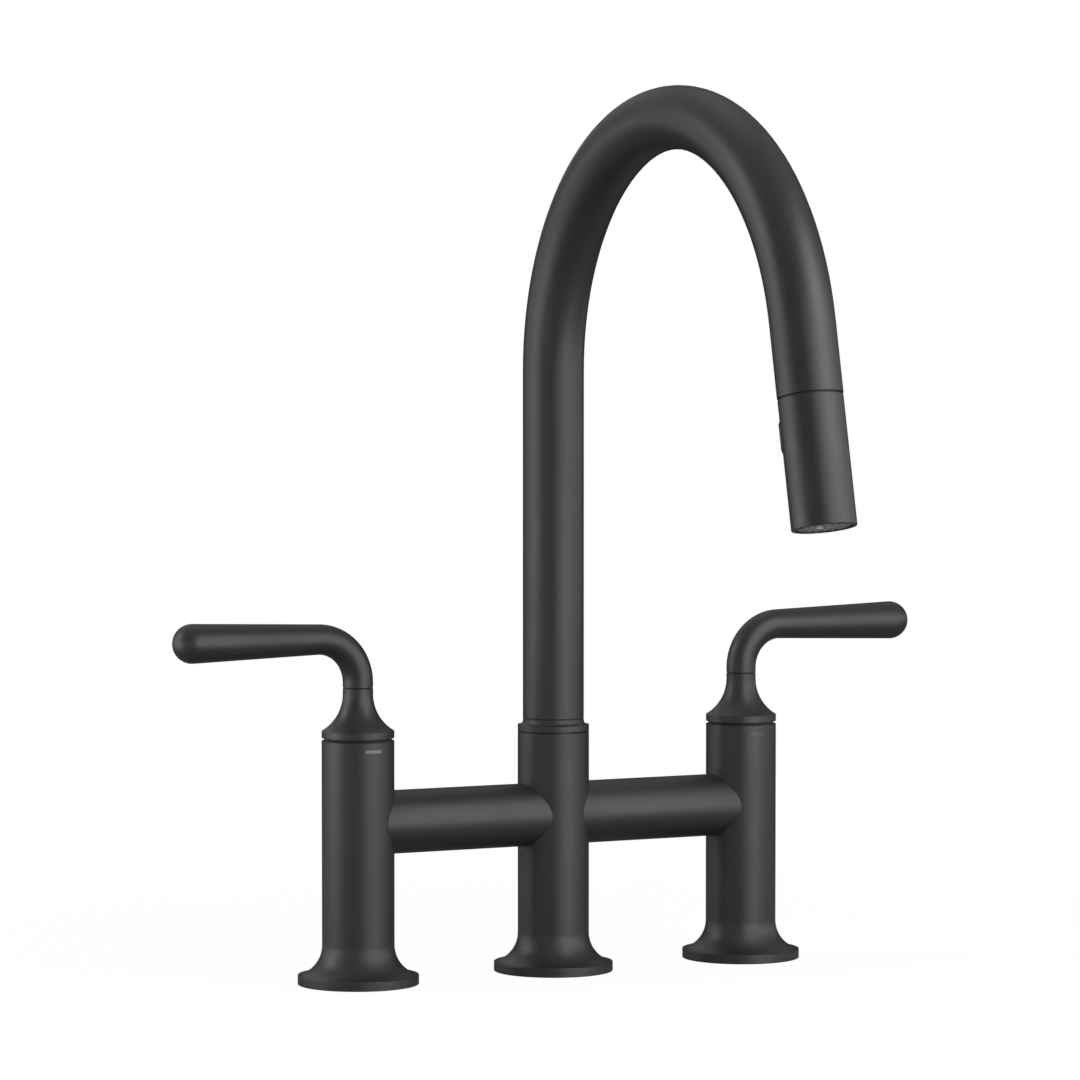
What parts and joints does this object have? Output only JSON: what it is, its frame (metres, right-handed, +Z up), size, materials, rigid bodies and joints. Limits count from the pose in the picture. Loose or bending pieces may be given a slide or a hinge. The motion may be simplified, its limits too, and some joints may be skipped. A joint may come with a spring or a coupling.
{
  "type": "bridge kitchen faucet",
  "caption": "Matte black bridge kitchen faucet: lever valves on flared legs, round bridge, swivelling arched spout with a pull-out spray head.",
  "frame": {"origin": "centre of the centre leg's deck socket, on the deck plane that the feet stand on", "axes": "+Z up, X along the bridge with the hot leg at -X, -Y to the front, where the spout reaches over the sink"},
  "size_m": [0.381, 0.2823, 0.4035],
  "materials": {
    "black_coat": "matte black coating on turned brass",
    "head_coat": "matte black coating on a moulded shell",
    "button_plastic": "matte black moulded plastic",
    "brass": "turned",
    "ceramic": "lapped alumina",
    "rubber": "moulded",
    "dark_plastic": "moulded",
    "steel": "stainless",
    "magnet": "sintered ring magnet",
    "hose_braid": "braided nylon over a rubber liner",
    "face_metal": "satin",
    "nozzle_rubber": "moulded silicone",
    "hot_mark": "light grey enamel",
    "cold_mark": "dark grey enamel"
  },
  "bodies": {
    "mixer_body": {"centre_column": "black_coat", "foot_gasket_centre": "rubber", "mixer_manifold": "brass", "manifold_seals": "rubber", "spout_bushes": "dark_plastic", "hose_coupling": "brass", "column_left": "black_coat", "column_right": "black_coat", "foot_gasket_left": "rubber", "foot_gasket_right": "rubber", "cartridge_left": "brass", "cartridge_right": "brass", "fixed_disc_left": "ceramic", "fixed_disc_right": "ceramic", "cartridge_seals_left": "rubber", "cartridge_seals_right": "rubber", "clamp_nut_left": "brass", "clamp_nut_right": "brass", "glide_ring_left": "dark_plastic", "glide_ring_right": "dark_plastic", "index_mark_left": "hot_mark", "index_mark_right": "cold_mark", "bridge_pipe_left": "black_coat", "bridge_pipe_right": "black_coat", "bridge_conduit_left": "brass", "bridge_conduit_right": "brass", "bridge_seals_left": "rubber", "bridge_seals_right": "rubber"},
    "left_handle": {"lever_left": "black_coat", "lever_hub_left": "black_coat", "grub_screw_left": "steel", "spindle_left": "brass", "turning_disc_left": "ceramic"},
    "right_handle": {"lever_right": "black_coat", "lever_hub_right": "black_coat", "grub_screw_right": "steel", "spindle_right": "brass", "turning_disc_right": "ceramic"},
    "spout": {"spout_tube": "black_coat", "spout_collar": "black_coat", "spout_journal": "brass", "retaining_ring": "steel", "dock_sleeve": "dark_plastic", "dock_magnet": "magnet", "spray_hose": "hose_braid"},
    "hose_end": {"hose_nut": "brass"},
    "spray_head": {"head_shell": "head_coat", "dock_collar": "dark_plastic", "keeper_ring": "steel", "head_waterway": "dark_plastic", "check_valve": "dark_plastic", "head_seals": "rubber", "button_spring": "steel", "aerator": "face_metal", "spray_plate": "face_metal", "spray_nozzles": "nozzle_rubber", "face_ring": "dark_plastic"},
    "head_button": {"spray_button": "button_plastic"}
  },
  "joints": [
    {"name": "left_handle_turn", "type": "hinge", "parent": "mixer_body", "child": "left_handle", "pos_m": [-0.1, 0, 0.13], "axis": [0, 0, 1], "range_deg": [0, 90]},
    {"name": "right_handle_turn", "type": "hinge", "parent": "mixer_body", "child": "right_handle", "pos_m": [0.1, 0, 0.13], "axis": [0, 0, 1], "range_deg": [-90, 0]},
    {"name": "spout_swivel", "type": "hinge", "parent": "mixer_body", "child": "spout", "pos_m": [0, 0, 0.111], "axis": [0, 0, 1], "continuous": true},
    {"name": "hose_pull", "type": "slide", "parent": "spout", "child": "hose_end", "axis": [0, -0.2079, -0.9781], "range_m": [0, 0.19], "deforming": ["spray_hose"]},
    {"name": "head_swivel", "type": "hinge", "parent": "hose_end", "child": "spray_head", "pos_m": [0, -0.22949, 0.26919], "axis": [0, -0.2079, -0.9781], "continuous": true},
    {"name": "spray_button_press", "type": "slide", "parent": "spray_head", "child": "head_button", "axis": [0, -0.9781, 0.2079], "range_m": [0, 0.0015], "stiffness_N_per_m": 400, "springref_m": -0.004, "deforming": ["button_spring"]}
  ]
}
